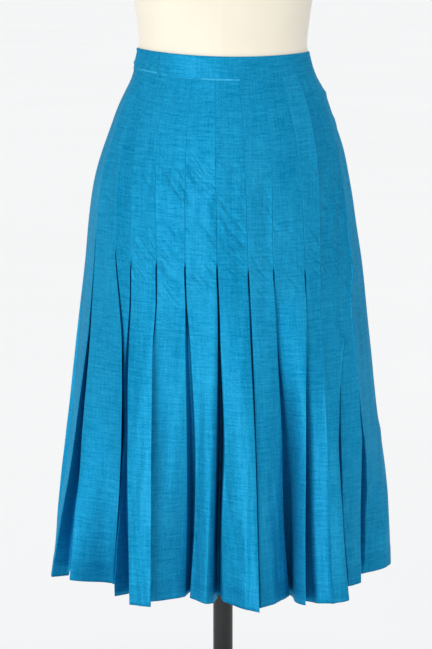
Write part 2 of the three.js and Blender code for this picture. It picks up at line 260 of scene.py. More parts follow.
# Creases along a pleat. "pleat" is the seam on its left, "from" and "to" are places across it,
# from 0 at its crease to 1 at its edge, at the top and the bottom of the crease.
CREASES = rows("pleat from to z_top z_bottom height width sharp", """
    0 0.42 0.5 640 440 1.2 2.5 1
    0 0.6 0.66 560 285 -3.2 9 0
    2 0.5 0.5 720 300 0.8 12 0
    3 0.38 0.38 700 430 -5 14 0
    3 0.3 0.4 600 285 0.8 9 0
    4 0.86 0.68 720 285 2 4 1
    5 0.05 0.6 480 330 -1.8 3.5 1
    5 0.8 0.74 520 285 -1.8 4 1
    6 0.6 0.55 430 310 -1.8 3.5 0
    6 0.25 0.4 500 285 0.8 8 0
    7 1 1 600 285 1.6 5 1
    8 1 1 1030 690 3.4 12 1
    8 0.85 0.9 720 560 -1.2 8 0
    8 1 1 700 250 2.5 12 0
    9 0 0 1030 690 3.4 12 1
    9 1 1 700 520 2.6 4 1
    9 0 0 700 250 2.5 12 0
    10 1 1 890 560 3.4 4 1
    11 0.07 0.07 640 330 1.2 2.5 1
    13 0.4 0.5 650 285 1.6 6 0
    15 0.6 0.5 600 285 -1.4 7 0
    17 0.35 0.45 680 285 1.5 5 1
    19 0.7 0.6 520 285 -1.6 5 0
    21 0.5 0.55 640 285 1.4 8 0
""")

# Pulls in the cloth over the hips, as straight soft ridges or troughs from one point to another,
# seen from the front (side 1) or the back (side -1).
PULLS = rows("side x0 z0 x1 z1 height width", """
    1 -80 890 -52 837 1.1 3.8
    1 -87 825 -51 805 1.1 3.5
    1 -50 870 -14 826 0.8 5
    1 -45 814 -10 773 1.1 4.2
    1 -51 792 -15 760 0.8 3.5
    1 -87 758 -59 729 1.4 4
    1 -73 897 -45 844 -1.0 4
    1 17 825 43 781 1.3 4
    1 2 800 30 768 0.8 4
    1 57 870 60 796 -2.2 8
    1 57 796 56 666 -1.8 9
    1 -5 887 12 882 1.1 7
    1 -160 892 -166 851 0.9 3
    1 -166 851 -169 816 0.8 3
    1 161 851 142 777 2.4 3.5
    1 -122 981 -116 960 -2.1 4
    1 -111 1004 -101 989 0.6 2.6
    1 -103 1006 -93 992 0.5 2.6
    1 -118 1000 -111 985 0.5 2.6
    1 -146 893 -148 798 0.35 2.6
    1 -134 894 -137 799 -0.35 2.6
    1 -123 888 -126 800 0.35 2.6
    1 -112 882 -113 807 -0.3 2.6
    1 174 504 175 496 -2.6 4
    -1 70 885 45 835 1.8 5
    -1 40 850 12 806 1.4 4.5
    -1 -30 880 -52 820 1.6 5
    -1 -80 845 -98 790 -1.6 5
    -1 5 830 -24 785 1.3 4.5
    -1 100 800 78 765 1.3 4
""")


# ---------------------------------------------------------------- curves and places

def smooth_at(table, z, key):
    """A smooth curve through rows that are listed from the top down."""
    last = len(table) - 1
    if z >= table[0]["z"]:
        return table[0][key]
    if z <= table[last]["z"]:
        return table[last][key]
    i = next(i for i in range(last) if table[i]["z"] >= z > table[i + 1]["z"])

    def slope(a, b):
        return (table[b][key] - table[a][key]) / (table[b]["z"] - table[a]["z"])

    span = table[i + 1]["z"] - table[i]["z"]
    t = (z - table[i]["z"]) / span
    start_slope = slope(max(i - 1, 0), i + 1) * span
    end_slope = slope(i, min(i + 2, last)) * span
    t2, t3 = t * t, t * t * t
    return ((2 * t3 - 3 * t2 + 1) * table[i][key] + (t3 - 2 * t2 + t) * start_slope
            + (3 * t2 - 2 * t3) * table[i + 1][key] + (t3 - t2) * end_slope)


def mix(a, b, share):
    return a + (b - a) * share


def smoothstep(x):
    x = min(max(x, 0.0), 1.0)
    return x * x * (3 - 2 * x)


def oval_point(sections, angle, z, out):
    turn = math.radians(angle)
    half = smooth_at(sections, z, "half") + out
    side = "front" if math.cos(turn) > 0 else "back"
    depth = smooth_at(sections, z, side) + out
    return np.array([half * math.sin(turn), -depth * math.cos(turn), z])


def band_edge(edge, angle):
    sine = math.sin(math.radians(angle))
    return edge["front"] + edge["side_rise"] * sine * sine - edge["tilt"] * sine


def hem_height(angle):
    turn = math.radians(angle)
    lift = HEM_LINE["side_rise"] * math.sin(turn) ** 2
    return HEM_HEIGHT + lift - HEM_LINE["front_drop"] * math.cos(turn)


# ---------------------------------------------------------------- the pleated cloth

# A stitched fold's edge stands up by the step and its groove goes in by the sink. The step goes flat
# over the first STEP_FADE of the open length.
STITCHED_STEP = 0.32
STITCHED_SINK = 0.15
STEP_FADE = 0.125
STITCHED_CROWN = 0.3
# Half widths of a fold's edge and of the groove behind it, and of a groove that a side seam closes.
FOLD_HALF_WIDTH = 0.5
GROOVE_HALF_WIDTH = 1.0
SEAMED_GROOVE_HALF_WIDTH = 0.15
FOLD_RADIUS = {"stitched": 0.4, "open": 1.1}
# Grooves run more nearly front to back than square to the waist, most of all at some side folds,
# which are listed by their seam's number.
GROOVE_SLANT = 0.35
SIDE_GROOVE_SLANTS = {0: 0.05, 1: 0.2, 2: 0.2, 10: 0.2, 11: 0.1}
# A fold whose sides differ by more than SMALL_DROP keeps WALL_CLEARANCE between its walls.
SMALL_DROP = 0.5
WALL_CLEARANCE = 1.3
# The cloth goes on under the band, and its topmost stretch is turned in.
UNDER_BAND = 4
TURNED_IN = 1.2
TURNED_DEPTH = 0.004
# Points on a groove's wall, on a rounded corner and on a pleat's face.
WALL_POINTS = 5
CORNER_POINTS = 4
FACE_POINTS = 20


def ring_height(depth, angle):
    return mix(band_edge(BAND_BOTTOM, angle) + UNDER_BAND, hem_height(angle), depth)


def open_levels(index):
    """A seam's places from its release down to the hem, as rows of a table."""
    seam = SEAMS[index]
    release = seam["release"]
    levels = [level for level in OPEN_FOLDS if int(level["seam"]) == index] or even_levels(seam)
    closed = {"z": release, "edge": seam["hip"], "crease": seam["hip"],
              "edge_out": 0, "crease_out": 0, "groove": 0}
    first = {"z": release - FIRST_GAP["drop"], "edge": seam["hip"] - FIRST_GAP["angle"] / 2,
             "crease": seam["hip"] + FIRST_GAP["angle"] / 2,
             "edge_out": 0, "crease_out": 0, "groove": FIRST_GAP["groove"]}
    clear = release - 2 * FIRST_GAP["drop"]
    if levels[0]["groove"] < FIRST_GAP["least"] or levels[0]["z"] > clear:
        return [closed] + [level for level in levels if level["z"] < clear]
    return [closed, first] + levels


def even_levels(seam):
    """The middle and the hem of a seam that OPEN_FOLDS doesn't list, from the seam's own row."""
    release = seam["release"]
    share_at_mid = (release - MID_HEIGHT) / (release - HEM_HEIGHT)
    return [{"z": z, "edge": angle, "crease": angle + gap, "groove": seam["groove"] * share ** 0.5,
             "edge_out": seam["edge_out"] * share, "crease_out": seam["crease_out"] * share}
            for z, angle, gap, share in ((MID_HEIGHT, seam["mid"], seam["mid_gap"], share_at_mid),
                                         (HEM_HEIGHT, seam["hem"], seam["hem_gap"], 1))]


def fold_at(index, depth):
    """Where a seam's folded edge, groove and crease lie on one ring of the skirt."""
    seam = SEAMS[index]
    path = [
        {"z": ring_height(0, seam["waist"]), "angle": seam["waist"]},
        {"z": HIP_HEIGHT, "angle": seam["hip"]},
        {"z": MID_HEIGHT, "angle": seam["mid"]},
    ]
    z = ring_height(depth, smooth_at(path, ring_height(depth, seam["hip"]), "angle"))
    opened = min(max((seam["release"] - z) / (seam["release"] - HEM_HEIGHT), 0), 1)
    if opened == 0:
        angle = smooth_at(path, z, "angle")
        place = {"edge": angle, "crease": angle, "edge_out": 0, "crease_out": 0, "groove": 0}
    else:
        levels = LEVELS[index]
        place = {key: smooth_at(levels, z, key)
                 for key in ("edge", "crease", "edge_out", "crease_out", "groove")}
    flat = 1 - smoothstep(opened / STEP_FADE)
    edge_step = STITCHED_STEP * flat if seam["lap"] > 0 else 0
    crease_step = STITCHED_STEP * flat if seam["lap"] < 0 else 0
    half_turn = math.degrees(FOLD_HALF_WIDTH / smooth_at(SKIRT_SECTIONS, z, "half")) * flat
    edge = on_skirt(place["edge"] - half_turn, depth, place["edge_out"] + edge_step)
    crease = on_skirt(place["crease"] + half_turn, depth, place["crease_out"] + crease_step)
    reach = STITCHED_SINK + max(place["groove"], 0)
    bottom, along = groove_bottom(edge, crease, reach, SIDE_GROOVE_SLANTS.get(index, GROOVE_SLANT))
    return {"edge": edge, "crease": crease, "bottom": bottom, "along": along, "open": opened}


def on_skirt(angle, depth, out):
    return oval_point(SKIRT_SECTIONS, angle, ring_height(depth, angle), out)


def groove_bottom(edge, crease, reach, slant):
    """The groove's deepest point, placed so that the higher side's wall passes the lower side."""
    middle = (edge + crease) / 2
    inward = unit(np.array([-middle[0] * slant, -middle[1], 0]))
    along = np.array([-inward[1], inward[0], 0])
    if along @ np.array([-middle[1], middle[0], 0]) < 0:
        along = -along
    run = crease - edge
    gap, drop = float(run @ along), float(run @ inward)
    sign = 1 if drop >= 0 else -1
    high = edge if drop >= 0 else crease
    deep = abs(drop)
    shift = gap / 2
    if deep > SMALL_DROP:
        shift = min(shift, (gap - WALL_CLEARANCE) * (deep + reach) / deep)
    bottom = high + inward * (deep + reach) + along * shift * sign
    bottom[2] = (edge[2] + crease[2]) / 2
    return bottom, along


def unit(v):
    return v / max(np.linalg.norm(v), 1e-9)


def corner(before, tip, after, cut):
    """Points that round a corner off, cut back by some millimetres or a third of a side."""
    start = tip + unit(before - tip) * min(cut, np.linalg.norm(before - tip) / 3)
    end = tip + unit(after - tip) * min(cut, np.linalg.norm(after - tip) / 3)
    return [(1 - t) ** 2 * start + 2 * t * (1 - t) * tip + t * t * end
            for t in np.linspace(0, 1, CORNER_POINTS)]


def face_curve(start, end, bulge_a, bulge_b):
    """The two middle handles of a pleat's face, so that it passes the bulges at its thirds."""
    across = end - start
    outward = unit(np.array([across[1], -across[0], 0]))
    a = start + across / 3 + outward * bulge_a
    b = start + across * 2 / 3 + outward * bulge_b
    handle_a = (-5 * start + 18 * a - 9 * b + 2 * end) / 6
    handle_b = (2 * start - 9 * a + 18 * b - 5 * end) / 6
    return handle_a, handle_b


def bezier(p0, p1, p2, p3, t):
    return (1 - t) ** 3 * p0 + 3 * t * (1 - t) ** 2 * p1 + 3 * t * t * (1 - t) * p2 + t ** 3 * p3


def fold_radius(opened):
    return mix(FOLD_RADIUS["stitched"], FOLD_RADIUS["open"], opened)


def pleat_section(here, following, seam, side_left, side_right):
    """One pleat's points on one ring, from a groove's bottom over the face to the next groove."""
    def groove_side(fold, sign, is_side_seam):
        half_width = min(GROOVE_HALF_WIDTH, np.linalg.norm(fold["crease"] - fold["edge"]) / 6)
        if is_side_seam:
            half_width = SEAMED_GROOVE_HALF_WIDTH
        return fold["bottom"] + sign * fold["along"] * half_width

    opened = (here["open"] + following["open"]) / 2
    leaving = groove_side(here, 1, side_left)
    arriving = groove_side(following, -1, side_right)
    crease, edge = here["crease"], following["edge"]
    bulge_a = STITCHED_CROWN + seam["bulge_a"] * opened
    bulge_b = STITCHED_CROWN + seam["bulge_b"] * opened
    handle_a, handle_b = face_curve(crease, edge, bulge_a, bulge_b)
    left_corner = corner(leaving, crease, handle_a, fold_radius(here["open"]))
    right_corner = corner(handle_b, edge, arriving, fold_radius(following["open"]))
    face = [bezier(left_corner[-1], handle_a, handle_b, right_corner[0], t)
            for t in np.linspace(0, 1, FACE_POINTS + 2)[1:-1]]
    down = [mix(leaving, left_corner[0], t) for t in np.linspace(0, 1, WALL_POINTS + 1)[:-1]]
    up = [mix(right_corner[-1], arriving, t) for t in np.linspace(0, 1, WALL_POINTS + 1)[1:]]
    return down + left_corner + face + right_corner + up


LEVELS = [open_levels(index) for index in range(len(SEAMS))]

# The skirt's rings, from 0 at the waist to 1 at the hem. They lie closer together under the band,
# where the folds open, and at the hem.
RING_BANDS = rows("start end rings", """
    0 0.004 2
    0.004 0.30 29
    0.30 0.45 24
    0.45 0.95 34
    0.95 1 7
""")


def ring_depths():
    depths = [np.linspace(band["start"], band["end"], int(band["rings"]), endpoint=False)
              for band in RING_BANDS]
    return np.append(np.concatenate(depths), 1.0)


# A crease fades in and out over these shares of its length, and runs on a little past its end.
CREASE_FADE_IN = 0.25
CREASE_FADE_OUT = 0.2
CREASE_OVERRUN = 1.1


def crease_offset(crease, place, z, width_of_pleat):
    """How far one crease lifts the cloth at a place across its pleat."""
    along = (crease["z_top"] - z) / (crease["z_top"] - crease["z_bottom"])
    if not 0 < along < CREASE_OVERRUN:
        return 0.0
    fade = smoothstep(along / CREASE_FADE_IN)
    if crease["z_bottom"] >= HEM_HEIGHT:
        fade *= smoothstep((CREASE_OVERRUN - along) / CREASE_FADE_OUT)
    centre = mix(crease["from"], crease["to"], min(along, 1))
    away = abs(place - centre) * width_of_pleat / crease["width"]
    shape = math.exp(-away) if crease["sharp"] else math.exp(-away * away)
    return crease["height"] * fade * shape


# A pull runs on past each end and fades there, over these shares of its length. It is left out more
# than PULL_REACH widths away.
PULL_TAPER = 0.18
PULL_FADE = 0.4
PULL_REACH = 3


def pull_offset(x, y, z):
    """How far the hip pulls lift the cloth at a point."""
    lift = 0.0
    for pull in PULLS:
        if pull["side"] * y > 0:
            continue
        start = np.array([pull["x0"], pull["z0"]])
        run = np.array([pull["x1"], pull["z1"]]) - start
        length = np.linalg.norm(run)
        offset = np.array([x, z]) - start
        along = float(offset @ run) / length ** 2
        if not -PULL_TAPER < along < 1 + PULL_TAPER:
            continue
        away = abs(offset[0] * run[1] - offset[1] * run[0]) / length / pull["width"]
        if away > PULL_REACH:
            continue
        start_fade = smoothstep((along + PULL_TAPER) / PULL_FADE)
        end_fade = smoothstep((1 + PULL_TAPER - along) / PULL_FADE)
        lift += pull["height"] * start_fade * end_fade * math.exp(-away * away)
    return lift


# Waves in the cloth: radians for each degree round the body and each millimetre up, and the phase.
DRAPE_WAVES = rows("height round up phase", """
    1 0.31 0.011 0
    0.6 0.83 -0.023 2.1
""")
DRAPE_RIPPLES = rows("round up phase", """
    1.9 0.051 0.7
    0.4 0.037 0
""")
# How high the waves and the ripples are at the hip and at the hem.
DRAPE_HEIGHTS = {"waves": (0.2, 0.9), "ripples": (0, 0.35)}


def wave(row, angle, up):
    return math.sin(angle * row["round"] + up * row["up"] + row["phase"])


def drape_offset(angle, z):
    """The slow unevenness of worn cloth, larger towards the hem."""
    low = min(max((HIP_HEIGHT - z) / (HIP_HEIGHT - HEM_HEIGHT), 0), 1)
    waves = sum(row["height"] * wave(row, angle, z) for row in DRAPE_WAVES)
    ripples = math.prod(wave(row, angle, z) for row in DRAPE_RIPPLES)
    return waves * mix(*DRAPE_HEIGHTS["waves"], low) + ripples * mix(*DRAPE_HEIGHTS["ripples"], low)


def body_bump(angle, z):
    """How far the worn skirt stands out from its even ovals."""
    lift = 0.0
    for bump in BODY_BUMPS:
        turn = (angle - bump["angle"] + 180) % 360 - 180
        aside = turn / bump["wide"]
        above = (z - bump["z"]) / bump["tall"]
        lift += bump["out"] * math.exp(-aside ** 2 - above ** 2)
    return lift


HEM_RIDGE = {"height": 0.45, "fade": 2.0}


def hem_ridge(distance):
    """The turned-up hem is a little thicker up to its sewn line."""
    return HEM_RIDGE["height"] * smoothstep((HEM_ALLOWANCE - distance) / HEM_RIDGE["fade"])


# Each pleat's weave starts this far along the cloth from the last one's.
PLEAT_CLOTH_STEP = 137


def panel_grid(first, count):
    """Points and cloth coordinates of a panel, as rows from the waist to the hem."""
    indices = [(first + i) % len(SEAMS) for i in range(count + 1)]
    points, cloth = [], []
    for depth in ring_depths():
        folds = [fold_at(index, depth) for index in indices]
        ring, ring_cloth = [], []
        for i in range(count):
            seam = SEAMS[indices[i]]
            section = pleat_section(folds[i], folds[i + 1], seam, i == 0, i == count - 1)
            section = lift_pleat(section, indices[i], depth)
            steps = [0.0] + [float(np.linalg.norm((b - a)[:2])) for a, b in zip(section, section[1:])]
            across = np.cumsum(steps)
            across -= across[WALL_POINTS + 1]
            ring += section
            ring_cloth += [(u + indices[i] * PLEAT_CLOTH_STEP, mix(CLOTH_LENGTH, 0, depth)) for u in across]
        points.append(ring)
        cloth.append(ring_cloth)
    return np.array(points), np.array(cloth)


# Creases and bumps stand out more nearly front to back than square to the oval.
LIFT_SLANT = 1.6


def lift_pleat(section, index, depth):
    """Adds creases, pulls, drape and the uneven hem to one pleat's points."""
    rise = next((r for r in HEM_RISES if int(r["pleat"]) == index), {"left": 0, "right": 0})
    rise_share = smoothstep((depth - HEM_RISE_START) / (1 - HEM_RISE_START))
    turned_in = TURNED_IN * (1 - smoothstep(depth / TURNED_DEPTH))
    face_start = WALL_POINTS
    face_end = len(section) - WALL_POINTS
    width = np.linalg.norm((section[face_end - 1] - section[face_start])[:2])
    creases = [c for c in CREASES if int(c["pleat"]) == index]
    lifted = []
    for i, point in enumerate(section):
        x, y, z = point
        place = min(max((i - face_start) / (face_end - 1 - face_start), 0), 1)
        angle = math.degrees(math.atan2(x, -y))
        outward = unit(np.array([x / LIFT_SLANT, y, 0]))
        lift = drape_offset(angle, z) + pull_offset(x, y, z) + body_bump(angle, z) - turned_in
        if face_start <= i < face_end:
            lift += hem_ridge(z - hem_height(angle))
            lift += sum(crease_offset(c, place, z, width) for c in creases)
        moved = point + outward * lift
        moved[2] += mix(rise["left"], rise["right"], place) * rise_share
        lifted.append(moved)
    return lifted


def grid_mesh(name, points, cloth, material, closed=False):
    """A smooth mesh from rows of points, with its cloth coordinates as UVs in metres."""
    row_count, column_count = points.shape[:2]
    mesh = bpy.data.meshes.new(name)
    vertices = (points.reshape(-1, 3) * MM).tolist()
    faces = []
    for k in range(row_count - 1):
        for i in range(column_count - (0 if closed else 1)):
            j = (i + 1) % column_count
            a, b = k * column_count, (k + 1) * column_count
            faces.append((a + i, b + i, b + j, a + j))
    mesh.from_pydata(vertices, [], faces)
    if cloth is not None:
        flat = cloth.reshape(-1, 2) * MM
        layer = mesh.uv_layers.new(name="cloth")
        corner_vertices = np.empty(len(mesh.loops), dtype=np.int32)
        mesh.loops.foreach_get("vertex_index", corner_vertices)
        layer.data.foreach_set("uv", flat[corner_vertices].ravel())
    mesh.polygons.foreach_set("use_smooth", [True] * len(mesh.polygons))
    mesh.materials.append(material)
    mesh.update()
    piece = bpy.data.objects.new(name, mesh)
    bpy.context.scene.collection.objects.link(piece)
    return piece


def thicken(piece, thickness):
    """Gives a sheet its wall, on its inner side."""
    solid = piece.modifiers.new("wall", "SOLIDIFY")
    solid.thickness = thickness * MM
    solid.offset = -1
    solid.use_even_offset = False
    bpy.context.view_layer.objects.active = piece
    with bpy.context.temp_override(object=piece, active_object=piece):
        bpy.ops.object.modifier_apply(modifier=solid.name)


def skirt_panel(name, node, first, last, material):
    """The pleats from one side seam round to the other, as one sheet of silk."""
    count = (last - first) % len(SEAMS)
    points, cloth = panel_grid(first, count)
    piece = grid_mesh(name, points, cloth, material)
    thicken(piece, SILK_THICKNESS)
    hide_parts(node)
    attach(piece, "root")
    return piece


# ---------------------------------------------------------------- the waistband

BAND_STEPS = 300
BAND_FACE_STEPS = 14
BAND_HEIGHT = BAND_TOP["front"] - BAND_BOTTOM["front"]
BAND_RADIUS = 118
# The band's folded edges are rounded by this share of its height.
BAND_ROUNDING = 0.012
LAP_GAP = 0.2

# Small waves all round the band. "up" is in radians for the band's whole height.
BAND_RIPPLES = rows("height round up phase", """
    0.22 0.21 4 0
    0.12 0.57 9 1
""")
# The folds of its crumpled end, each one wave times another that crosses it.
BAND_FOLDS = rows("height round up phase cross_round cross_up cross_phase", """
    0.9 0.13 13 0 0.4 3 0
    0.7 0.85 -9 1 0 5 0.4
""")
# The angles over which the crumple fades out at the band's first end and grows at its last, and the
# share of the band's height over which it grows from the lower edge.
CRUMPLE_ANGLES = {"first_end": (-44, -50), "last_end": (262, 270)}
CRUMPLE_RISE = 0.2

# How far the band's lower edge stands out at the front, the right and the left, and the angles over
# which it starts, grows, shrinks and ends.
BAND_FLARE = {"front": 1.5, "right": 3.4, "left": 1.4, "curve": 1.5}
FLARE_ANGLES = {"start": (6, 15), "right": (10, 80), "left": (200, 260), "end": (302, 282)}


def ramp(x, start, end):
    """0 before the start and 1 past the end, in either direction."""
    return smoothstep((x - start) / (end - start))


def band_crumple(angle, share):
    """Small folds in the band: slight all round, stronger where its under end is turned in."""
    turned_in = sum(ramp(angle, *angles) for angles in CRUMPLE_ANGLES.values())
    soft = sum(row["height"] * wave(row, angle, share) for row in BAND_RIPPLES)
    folds = 0.0
    for row in BAND_FOLDS:
        crossing = math.sin(angle * row["cross_round"] + share * row["cross_up"] + row["cross_phase"])
        folds += row["height"] * wave(row, angle, share) * crossing
    return soft + turned_in * folds * smoothstep(share / CRUMPLE_RISE)


def band_flare(angle, share):
    """How far the band's lower edge stands out to lie level with the skirt, all but near its lap."""
    level = mix(BAND_FLARE["front"], BAND_FLARE["right"], ramp(angle, *FLARE_ANGLES["right"]))
    level *= ramp(angle, *FLARE_ANGLES["start"])
    level = mix(level, BAND_FLARE["left"], ramp(angle, *FLARE_ANGLES["left"]))
    level *= ramp(angle, *FLARE_ANGLES["end"])
    return level * (1 - share) ** BAND_FLARE["curve"]


def band_loop(angle):
    """The band's section at an angle: each point's share of its height, and how far out it lies."""
    lap = 1 - smoothstep((angle - BAND_LAP["end"]) / BAND_LAP["ramp"])
    inner = BAND_EASE + (BAND_WALL + LAP_GAP) * lap
    middle = inner + BAND_WALL / 2
    shares = np.linspace(0, 1, BAND_FACE_STEPS)
    face = [(share, inner + BAND_WALL + band_crumple(angle, share) + band_flare(angle, share))
            for share in shares]
    inside = [(share, inner) for share in shares[::-1]]
    return face + [(1 + BAND_ROUNDING, middle)] + inside + [(-BAND_ROUNDING, middle)]


def waistband(material):
    """One strip round the waist; its first end lies on top of its last."""
    turn = 360 + BAND_LAP["end"] - BAND_LAP["start"]
    points, cloth = [], []
    for k in range(BAND_STEPS + 1):
        angle = BAND_LAP["start"] + turn * k / BAND_STEPS
        ring, ring_cloth = [], []
        for share, out in band_loop(angle):
            z = mix(band_edge(BAND_BOTTOM, angle), band_edge(BAND_TOP, angle), share)
            ring.append(oval_point(FORM_SECTIONS, angle, z, out))
            ring_cloth.append((math.radians(angle) * BAND_RADIUS, share * BAND_HEIGHT))
        points.append(ring)
        cloth.append(ring_cloth)
    piece = grid_mesh("silk_waistband", np.array(points), np.array(cloth), material, closed=True)
    close_ends(piece, len(points[0]), len(points))
    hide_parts("waistband")
    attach(piece, "root")
    return piece


def close_ends(piece, ring_size, ring_count):
    """Caps the first and last ring of a tube of rings."""
    mesh = piece.data
    work = bmesh.new()
    work.from_mesh(mesh)
    work.verts.ensure_lookup_table()
    first = [work.verts[i] for i in range(ring_size)]
    last = [work.verts[(ring_count - 1) * ring_size + i] for i in range(ring_size)]
    work.faces.new(first)
    work.faces.new(last[::-1])
    bmesh.ops.recalc_face_normals(work, faces=work.faces[:])
    work.to_mesh(mesh)
    work.free()


# ---------------------------------------------------------------- the form and its stand

FORM_SIDES = 120
FORM_STEP = 7
FORM_CLOTH_RADIUS = 140
# The form's plain top: how much it rises, and its rings as shares of the topmost section.
FORM_CROWN = {"rise": 6, "shares": (0.02, 0.3, 0.6, 0.85)}
POLE_SEAT = {"rim": 6, "clearance": 0.4, "depth": 55}
POLE = {"bottom": 14.3, "top": FORM_UNDERSIDE + 59.7, "edge": 1}
AXIS_RADIUS = 0.5
STAND_SIDES = 96

# The base's outline, from its socket over the hub to the rim and back under it.
BASE_PROFILE = rows("radius z", """
    14.4 14
    14.4 46
    22 46
    23.4 45.4
    24 44
    24 22
    26 19.6
    32 14.6
    40 12
    165 8.2
    168 7
    169.6 5.4
    170 4
    170 1
    169 0
    0.5 0
""")


def circle(sides, radius, z):
    """Points round the axis, from the front towards +X."""
    turns = np.arange(sides) * 2 * math.pi / sides
    return [np.array([radius * math.sin(turn), -radius * math.cos(turn), z]) for turn in turns]


def form_torso(material):
    """The smooth form, with a seat for the pole in its underside."""
    heights = np.append(np.arange(FORM_SECTIONS[0]["z"], FORM_UNDERSIDE, -FORM_STEP), FORM_UNDERSIDE)
    angles = np.arange(FORM_SIDES) * 360 / FORM_SIDES
    rings = [[oval_point(FORM_SECTIONS, a, z, 0) for a in angles] for z in heights]
    crown = [[np.array([p[0] * share, p[1] * share, heights[0] + (1 - share) * FORM_CROWN["rise"]])
              for p in rings[0]] for share in FORM_CROWN["shares"]]
    seat_radius = POLE_RADIUS + POLE_SEAT["clearance"]
    seat = [circle(FORM_SIDES, POLE_RADIUS + POLE_SEAT["rim"], FORM_UNDERSIDE),
            circle(FORM_SIDES, seat_radius, FORM_UNDERSIDE),
            circle(FORM_SIDES, seat_radius, FORM_UNDERSIDE + POLE_SEAT["depth"])]
    points = np.array(crown + rings + seat)
    cloth = np.array([[(math.radians(a) * FORM_CLOTH_RADIUS, p[2]) for a, p in zip(angles, ring)]
                      for ring in points])
    piece = grid_mesh("cotton_form", points, cloth, material, closed=True)
    close_ends(piece, FORM_SIDES, len(points))
    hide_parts("form_torso")
    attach(piece, "root")


def lathe(name, profile, material):
    """A turned piece from a profile of radius and height, from the axis round to the axis."""
    rings = [circle(STAND_SIDES, radius, z) for radius, z in profile]
    piece = grid_mesh(name, np.array(rings), None, material, closed=True)
    close_ends(piece, STAND_SIDES, len(rings))
    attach(piece, "root")
    return piece


def form_stand(material):
    """The pole, with its edges cut, and the round base."""
    top, bottom, edge = POLE["top"], POLE["bottom"], POLE["edge"]
    pole = lathe("steel_pole", [
        (AXIS_RADIUS, top), (POLE_RADIUS - edge, top), (POLE_RADIUS, top - edge),
        (POLE_RADIUS, bottom + edge), (POLE_RADIUS - edge, bottom), (AXIS_RADIUS, bottom),
    ], material)
    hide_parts("form_pole")
    base = lathe("steel_base", [(row["radius"], row["z"]) for row in BASE_PROFILE], material)
    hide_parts("form_base")


# ---------------------------------------------------------------- materials

SILK_LIGHT = (0.017, 0.335, 0.597)
SILK_DARK = (0.0005, 0.201, 0.405)
# Painted shade of the turned-up hem, as a multiplier on the silk's colour.
HEM_SHADE = (0.86, 0.90, 0.93, 1)
SILK_FINISH = {
    "Metallic": 0.4,
    "Roughness": 0.54,
    "Specular IOR Level": 0.05,
    "Specular Tint": (0.04, 0.9, 1.0, 1),
    "Coat Weight": 0.022,
    "Coat Roughness": 0.25,
}
# Slubs, weft, warp and specks: cells per metre along and up the cloth, and each one's share.
THREADS = rows("along up detail seed share", """
    30 320 2 9.2 0.34
    110 560 2 3.1 0.2
    420 26 2 7.7 0.24
    360 400 1 5.9 0.22
""")
# How much of the silk's tone is a slow cloudiness, and the tones that are all dark and all light.
CLOUD_SHARE = 0.2
SILK_TONES = (0.40, 0.60)
WEAVE_BUMP = {"strength": 0.5, "distance": 0.0012}

# Slant in degrees, cells per metre along and across, depth in metres, and heights above the hem
# where the wrinkles start, are full, fade and end. They come in patches, between two tones of noise.
CRINKLE = {"slant": 48, "scale": (30, 105, 1), "distortion": 0.7, "depth": 0.0048,
           "heights": (0.39, 0.46, 0.57, 0.64), "patches": (0.40, 0.62)}

# A painted highlight along the ridge where the turned-in cloth stands up under the waistband: its height,
# its width, its colour, how far it runs along the front, its soft lower edge, and the tones of noise
# that break it up. The lengths are in metres of the cloth coordinates.
WAIST_HIGHLIGHT = {"height": 0.715, "width": 0.0022, "colour": (0.05, 0.43, 0.69, 1), "reach": 0.822,
              "edge": (-0.0006, 0.0004), "breaks": (0.24, 0.36)}

# The soft upper edge of the painted shade where the turned-up hem shows through, in metres from its sewn
# line.
HEM_EDGE = (-0.002, 0.003)


def node_material(name, finish):
    """A material with one principled shader, and the shader's plain values."""
    material = bpy.data.materials.new(name)
    material.use_nodes = True
    nodes = material.node_tree.nodes
    nodes.clear()
    output = nodes.new("ShaderNodeOutputMaterial")
    shader = nodes.new("ShaderNodeBsdfPrincipled")
    material.node_tree.links.new(shader.outputs[0], output.inputs[0])
    for key, value in finish.items():
        shader.inputs[key].default_value = value
    return material, shader


def add_node(material, kind, values=None, **settings):
    node = material.node_tree.nodes.new(kind)
    for key, value in settings.items():
        setattr(node, key, value)
    for key, value in (values or {}).items():
        node.inputs[key].default_value = value
    return node


def link(material, source, target):
    material.node_tree.links.new(source, target)


def feed(material, value, socket):
    """Links a node's output to a socket, or sets the socket where the value is a plain one."""
    if isinstance(value, bpy.types.NodeSocket):
        link(material, value, socket)
    else:
        socket.default_value = value


def stretched_noise(material, coordinates, scale, detail, seed, distortion=0.0):
    """Noise drawn out along one direction of the cloth."""
    mapping = add_node(material, "ShaderNodeMapping", {"Scale": scale, "Location": (seed, seed * 0.7, 0)})
    noise = add_node(material, "ShaderNodeTexNoise",
                     {"Scale": 1.0, "Detail": detail, "Roughness": 0.6, "Distortion": distortion})
    link(material, coordinates, mapping.inputs["Vector"])
    link(material, mapping.outputs[0], noise.inputs["Vector"])
    return noise.outputs["Fac"]


def math_node(material, operation, a, b):
    node = add_node(material, "ShaderNodeMath", operation=operation)
    feed(material, a, node.inputs[0])
    feed(material, b, node.inputs[1])
    return node.outputs[0]


def weighted_sum(material, parts):
    """The sum of some values, each times its share."""
    total = 0.0
    for value, share in parts:
        total = math_node(material, "ADD", total, math_node(material, "MULTIPLY", value, share))
    return total


def ramp_between(material, value, low, high):
    """0 below the low limit and 1 above the high one, or the other way round."""
    limits = add_node(material, "ShaderNodeMapRange", {"From Min": low, "From Max": high},
                      interpolation_type="SMOOTHSTEP")
    link(material, value, limits.inputs["Value"])
    return limits.outputs[0]


def colour_ramp(material, value, dark, light, tones=(0.0, 1.0)):
    """A colour from dark to light as the value goes from the first tone to the second."""
    node = add_node(material, "ShaderNodeValToRGB")
    for element, tone, colour in zip(node.color_ramp.elements, tones, (dark, light)):
        element.position = tone
        element.color = (*colour, 1)
    link(material, value, node.inputs[0])
    return node.outputs[0]


